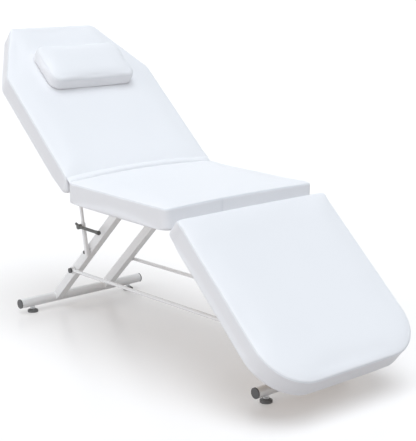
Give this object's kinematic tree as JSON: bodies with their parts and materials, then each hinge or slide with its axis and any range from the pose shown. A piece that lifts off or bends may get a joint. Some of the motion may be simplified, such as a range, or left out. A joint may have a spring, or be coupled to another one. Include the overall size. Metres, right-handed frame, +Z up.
{
  "type": "folding massage table",
  "caption": "Padded bed in hinged sections on slanted tube legs with stretcher rods, a backrest and a leg rest held by telescoping struts with clamp levers, and a loose head pillow.",
  "frame": {"origin": "on the floor, under the middle of the table as it stands at rest", "axes": "+X from the head end to the foot end, +Y across to the side away from the picture, +Z up"},
  "size_m": [1.5839, 0.61, 1.011],
  "materials": {
    "leatherette": "smooth white leatherette, low sheen",
    "plywood": "raw plywood",
    "white_powder_coat": "white powder coat",
    "white_rod": "white enamel",
    "grey_plastic": "moulded dark grey plastic",
    "dark_lever": "dark grey coating",
    "black_bolt": "black oxide",
    "zinc_steel": "zinc plated",
    "grey_foot": "moulded dark grey plastic"
  },
  "bodies": {
    "base": {"seat_cushion": "leatherette", "seat_board": "plywood", "seat_screws": "zinc_steel", "seat_rail_near": "white_powder_coat", "seat_rail_far": "white_powder_coat", "cross_rail_head": "white_powder_coat", "cross_rail_foot": "white_powder_coat", "leg_head_near": "white_powder_coat", "leg_head_far": "white_powder_coat", "leg_foot_near": "white_powder_coat", "leg_foot_far": "white_powder_coat", "foot_tube_head": "white_powder_coat", "foot_tube_foot": "white_powder_coat", "foot_tube_plugs": "grey_plastic", "foot_tube_bushes": "zinc_steel", "stretcher_near": "white_powder_coat", "stretcher_far": "white_powder_coat", "stretcher_studs": "zinc_steel", "stretcher_washers": "zinc_steel", "stretcher_caps": "grey_plastic", "backrest_hinge_seat_leaves": "white_powder_coat", "backrest_hinge_pins": "zinc_steel", "legrest_hinge_seat_leaves": "white_powder_coat", "legrest_hinge_pins": "zinc_steel", "backrest_strut_bolt": "black_bolt", "legrest_strut_bolt": "black_bolt"},
    "backrest": {"backrest_cushion": "leatherette", "backrest_board": "plywood", "backrest_hinge_leaves": "white_powder_coat", "backrest_strut_bracket": "white_powder_coat", "backrest_screws": "zinc_steel"},
    "pillow": {"pillow": "leatherette"},
    "backrest_sleeve": {"backrest_strut_sleeve": "white_powder_coat"},
    "backrest_rod": {"backrest_strut_rod": "white_rod"},
    "backrest_lever": {"backrest_clamp_lever": "dark_lever"},
    "legrest": {"legrest_cushion": "leatherette", "legrest_board": "plywood", "legrest_hinge_leaves": "white_powder_coat", "legrest_strut_bracket": "white_powder_coat", "legrest_screws": "zinc_steel"},
    "legrest_sleeve": {"legrest_strut_sleeve": "white_powder_coat"},
    "legrest_rod": {"legrest_strut_rod": "white_rod"},
    "legrest_lever": {"legrest_clamp_lever": "dark_lever"},
    "levelling_foot_head_near": {"foot_disc_head_near": "grey_foot", "foot_stud_head_near": "zinc_steel"},
    "levelling_foot_head_far": {"foot_disc_head_far": "grey_foot", "foot_stud_head_far": "zinc_steel"},
    "levelling_foot_foot_near": {"foot_disc_foot_near": "grey_foot", "foot_stud_foot_near": "zinc_steel"},
    "levelling_foot_foot_far": {"foot_disc_foot_far": "grey_foot", "foot_stud_foot_far": "zinc_steel"}
  },
  "joints": [
    {"name": "backrest_tilt", "type": "hinge", "parent": "base", "child": "backrest", "pos_m": [-0.2185, 0, 0.48], "axis": [0, 1, 0], "range_deg": [-40, 0]},
    {"name": "backrest_strut_swing", "type": "hinge", "parent": "base", "child": "backrest_sleeve", "pos_m": [-0.38126, -0.126, 0.256], "axis": [0, 1, 0], "range_deg": [-20.66, 0.5]},
    {"name": "backrest_strut_slide", "type": "slide", "parent": "backrest_sleeve", "child": "backrest_rod", "axis": [-0.1874, 0, 0.9823], "range_m": [-0.1536, 0.001]},
    {"name": "backrest_lever_turn", "type": "hinge", "parent": "backrest_sleeve", "child": "backrest_lever", "pos_m": [-0.38396, -0.1475, 0.35016], "axis": [0, -1, 0], "range_deg": [0, 60]},
    {"name": "pillow_lift", "type": "slide", "parent": "backrest", "child": "pillow", "axis": [0.6428, 0, 0.766], "range_m": [0, 0.15]},
    {"name": "legrest_tilt", "type": "hinge", "parent": "base", "child": "legrest", "pos_m": [0.3015, 0, 0.48], "axis": [0, -1, 0], "range_deg": [0, 41.5]},
    {"name": "legrest_strut_swing", "type": "hinge", "parent": "base", "child": "legrest_sleeve", "pos_m": [0.33712, 0.126, 0.26], "axis": [0, -1, 0], "range_deg": [-0.5, 18.91]},
    {"name": "legrest_strut_slide", "type": "slide", "parent": "legrest_sleeve", "child": "legrest_rod", "axis": [0.8834, 0, 0.4686], "range_m": [-0.001, 0.1392]},
    {"name": "legrest_lever_turn", "type": "hinge", "parent": "legrest_sleeve", "child": "legrest_lever", "pos_m": [0.399, 0.1475, 0.3098], "axis": [0, 1, 0], "range_deg": [0, 60]},
    {"name": "levelling_turn_head_near", "type": "hinge", "parent": "base", "child": "levelling_foot_head_near", "pos_m": [-0.60701, -0.215, 0.02], "axis": [0, 0, 1], "continuous": true},
    {"name": "levelling_turn_head_far", "type": "hinge", "parent": "base", "child": "levelling_foot_head_far", "pos_m": [-0.60701, 0.215, 0.02], "axis": [0, 0, 1], "continuous": true},
    {"name": "levelling_turn_foot_near", "type": "hinge", "parent": "base", "child": "levelling_foot_foot_near", "pos_m": [0.56701, -0.144, 0.02], "axis": [0, 0, 1], "continuous": true},
    {"name": "levelling_turn_foot_far", "type": "hinge", "parent": "base", "child": "levelling_foot_foot_far", "pos_m": [0.56701, 0.144, 0.02], "axis": [0, 0, 1], "continuous": true}
  ],
  "couplings": [
    {"joint": "backrest_strut_swing", "follows": "backrest_tilt", "ratio": 0.50401},
    {"joint": "backrest_strut_slide", "follows": "backrest_tilt", "m_per_rad": 0.2186},
    {"joint": "legrest_strut_swing", "follows": "legrest_tilt", "ratio": 0.4437},
    {"joint": "legrest_strut_slide", "follows": "legrest_tilt", "m_per_rad": 0.19086}
  ]
}
